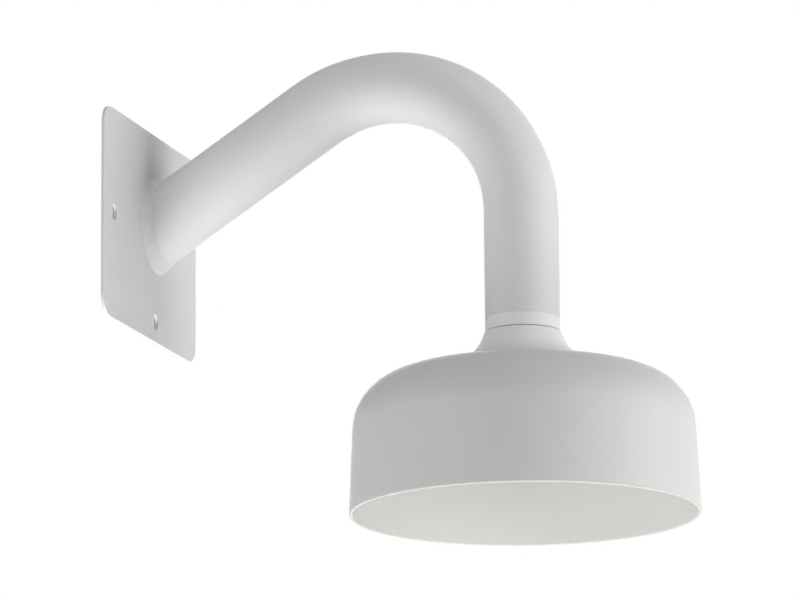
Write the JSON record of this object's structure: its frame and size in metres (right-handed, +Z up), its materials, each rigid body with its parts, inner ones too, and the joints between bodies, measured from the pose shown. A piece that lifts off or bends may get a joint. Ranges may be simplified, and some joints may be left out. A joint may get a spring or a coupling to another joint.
{
  "type": "camera wall bracket",
  "caption": "Bent tube wall bracket with a flat plate and a round downward shade that takes a hanging dome camera.",
  "frame": {"origin": "middle of the cable inlet on the plate's back face, which lies on the wall", "axes": "+X out of the wall, +Z up, +Y along the wall to the right as one faces it; the tube's centre line lies in Y = 0"},
  "size_m": [0.3633, 0.224, 0.312],
  "materials": {
    "painted_steel": "satin light grey paint",
    "painted_aluminium": "satin light grey paint on a casting",
    "plated_steel": "bright zinc plate",
    "gasket_rubber": "matt dark grey"
  },
  "bodies": {
    "root": {"wall_plate": "painted_steel", "base_weld": "painted_steel", "arm_tube": "painted_steel", "end_bush": "painted_steel", "threaded_nipple": "plated_steel", "neck_gasket": "gasket_rubber", "shade": "painted_aluminium", "shade_washer": "plated_steel", "lock_nut": "plated_steel"}
  },
  "joints": []
}
